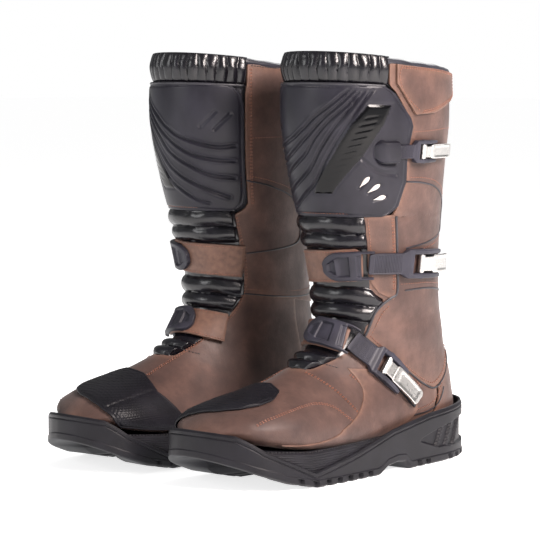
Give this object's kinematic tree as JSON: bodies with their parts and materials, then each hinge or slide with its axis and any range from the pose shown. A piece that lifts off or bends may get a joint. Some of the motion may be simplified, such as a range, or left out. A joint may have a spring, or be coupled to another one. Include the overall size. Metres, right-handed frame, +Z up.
{
  "type": "riding boots",
  "caption": "Pair of tall adventure-touring riding boots in brown leather with shin guards, padded flex panels, cam-lock buckles, velcro flaps and a wave-edged cup sole.",
  "frame": {"origin": "centre of the pair on the ground, midway between the boots and between the heels and toes", "axes": "+Z up, toes towards -Y, left boot on the +X side"},
  "size_m": [0.2812, 0.3316, 0.3572],
  "materials": {
    "brown_leather": "oiled nubuck leather, mid brown",
    "black_leather": "glossy black leather",
    "lining": "dark grey mesh lining",
    "plate": "moulded satin grey polyurethane",
    "rubber": "matt black rubber",
    "foam": "moulded midsole foam",
    "buckle": "moulded nylon",
    "silver": "satin silver",
    "steel": "plain steel"
  },
  "bodies": {
    "root": {"left_outsole": "rubber", "left_midsole": "foam", "left_shank": "steel", "left_footbed": "foam", "left_bootie": "lining", "left_vamp": "brown_leather", "left_heel_counter": "brown_leather", "left_shaft_outer": "brown_leather", "left_shaft_inner": "brown_leather", "left_bellows": "black_leather", "left_shin_plate": "plate", "left_cuff": "black_leather", "left_shift_pad": "plate", "left_strap_mid": "brown_leather", "left_strap_low": "brown_leather", "left_slider_mid": "buckle", "left_slider_low": "buckle", "left_catch_top": "buckle", "left_catch_mid": "buckle", "left_catch_low": "buckle"},
    "right_boot": {"right_outsole": "rubber", "right_midsole": "foam", "right_shank": "steel", "right_footbed": "foam", "right_bootie": "lining", "right_vamp": "brown_leather", "right_heel_counter": "brown_leather", "right_shaft_outer": "brown_leather", "right_shaft_inner": "brown_leather", "right_bellows": "black_leather", "right_shin_plate": "plate", "right_cuff": "black_leather", "right_shift_pad": "plate", "right_strap_mid": "brown_leather", "right_strap_low": "brown_leather", "right_slider_mid": "buckle", "right_slider_low": "buckle", "right_catch_top": "buckle", "right_catch_mid": "buckle", "right_catch_low": "buckle"},
    "left_band_top": {"left_band_top": "buckle", "left_pin_top": "steel"},
    "left_lever_top": {"left_lever_top": "silver"},
    "left_band_mid": {"left_band_mid": "buckle", "left_pin_mid": "steel"},
    "left_lever_mid": {"left_lever_mid": "silver"},
    "left_band_low": {"left_band_low": "buckle", "left_pin_low": "steel"},
    "left_lever_low": {"left_lever_low": "silver"},
    "left_closure_flap": {"left_closure_flap": "brown_leather"},
    "right_band_top": {"right_band_top": "buckle", "right_pin_top": "steel"},
    "right_lever_top": {"right_lever_top": "silver"},
    "right_band_mid": {"right_band_mid": "buckle", "right_pin_mid": "steel"},
    "right_lever_mid": {"right_lever_mid": "silver"},
    "right_band_low": {"right_band_low": "buckle", "right_pin_low": "steel"},
    "right_lever_low": {"right_lever_low": "silver"},
    "right_closure_flap": {"right_closure_flap": "brown_leather"}
  },
  "joints": [
    {"name": "right_boot_lift", "type": "slide", "parent": "root", "child": "right_boot", "axis": [0, 0, 1], "range_m": [0, 0.4]},
    {"name": "left_band_top_swing", "type": "hinge", "parent": "root", "child": "left_band_top", "pos_m": [0.13683, 0.02643, 0.27243], "axis": [-0.1251, 0.0262, -0.9918], "range_deg": [0, 70]},
    {"name": "left_lever_top_open", "type": "hinge", "parent": "left_band_top", "child": "left_lever_top", "pos_m": [0.13675, 0.05858, 0.27282], "axis": [-0.1125, -0.0041, -0.9936], "range_deg": [0, 110]},
    {"name": "left_band_mid_swing", "type": "hinge", "parent": "root", "child": "left_band_mid", "pos_m": [0.11353, 0.01482, 0.1776], "axis": [-0.1653, 0.0832, -0.9827], "range_deg": [0, 70]},
    {"name": "left_lever_mid_open", "type": "hinge", "parent": "left_band_mid", "child": "left_lever_mid", "pos_m": [0.12547, 0.06999, 0.17615], "axis": [-0.0865, -0.049, -0.995], "range_deg": [0, 110]},
    {"name": "left_band_low_swing", "type": "hinge", "parent": "root", "child": "left_band_low", "pos_m": [0.1036, 0.00564, 0.11429], "axis": [-0.204, -0.6736, -0.7104], "range_deg": [0, 70]},
    {"name": "left_lever_low_open", "type": "hinge", "parent": "left_band_low", "child": "left_lever_low", "pos_m": [0.11653, 0.03506, 0.09002], "axis": [-0.0113, -0.6254, -0.7802], "range_deg": [0, 110]},
    {"name": "left_closure_flap_open", "type": "hinge", "parent": "root", "child": "left_closure_flap", "pos_m": [0.13529, 0.02584, 0.32915], "axis": [0.0157, -0.0238, -0.9996], "range_deg": [0, 90]},
    {"name": "right_band_top_swing", "type": "hinge", "parent": "right_boot", "child": "right_band_top", "pos_m": [-0.13683, 0.01643, 0.27243], "axis": [-0.1251, -0.0262, 0.9918], "range_deg": [0, 70]},
    {"name": "right_lever_top_open", "type": "hinge", "parent": "right_band_top", "child": "right_lever_top", "pos_m": [-0.13675, 0.04858, 0.27282], "axis": [-0.1125, 0.0041, 0.9936], "range_deg": [0, 110]},
    {"name": "right_band_mid_swing", "type": "hinge", "parent": "right_boot", "child": "right_band_mid", "pos_m": [-0.11353, 0.00482, 0.1776], "axis": [-0.1653, -0.0832, 0.9827], "range_deg": [0, 70]},
    {"name": "right_lever_mid_open", "type": "hinge", "parent": "right_band_mid", "child": "right_lever_mid", "pos_m": [-0.12547, 0.05999, 0.17615], "axis": [-0.0865, 0.049, 0.995], "range_deg": [0, 110]},
    {"name": "right_band_low_swing", "type": "hinge", "parent": "right_boot", "child": "right_band_low", "pos_m": [-0.1036, -0.00436, 0.11429], "axis": [-0.204, 0.6736, 0.7104], "range_deg": [0, 70]},
    {"name": "right_lever_low_open", "type": "hinge", "parent": "right_band_low", "child": "right_lever_low", "pos_m": [-0.11653, 0.02506, 0.09002], "axis": [-0.0113, 0.6254, 0.7802], "range_deg": [0, 110]},
    {"name": "right_closure_flap_open", "type": "hinge", "parent": "right_boot", "child": "right_closure_flap", "pos_m": [-0.13529, 0.01584, 0.32915], "axis": [0.0157, 0.0238, 0.9996], "range_deg": [0, 90]}
  ]
}
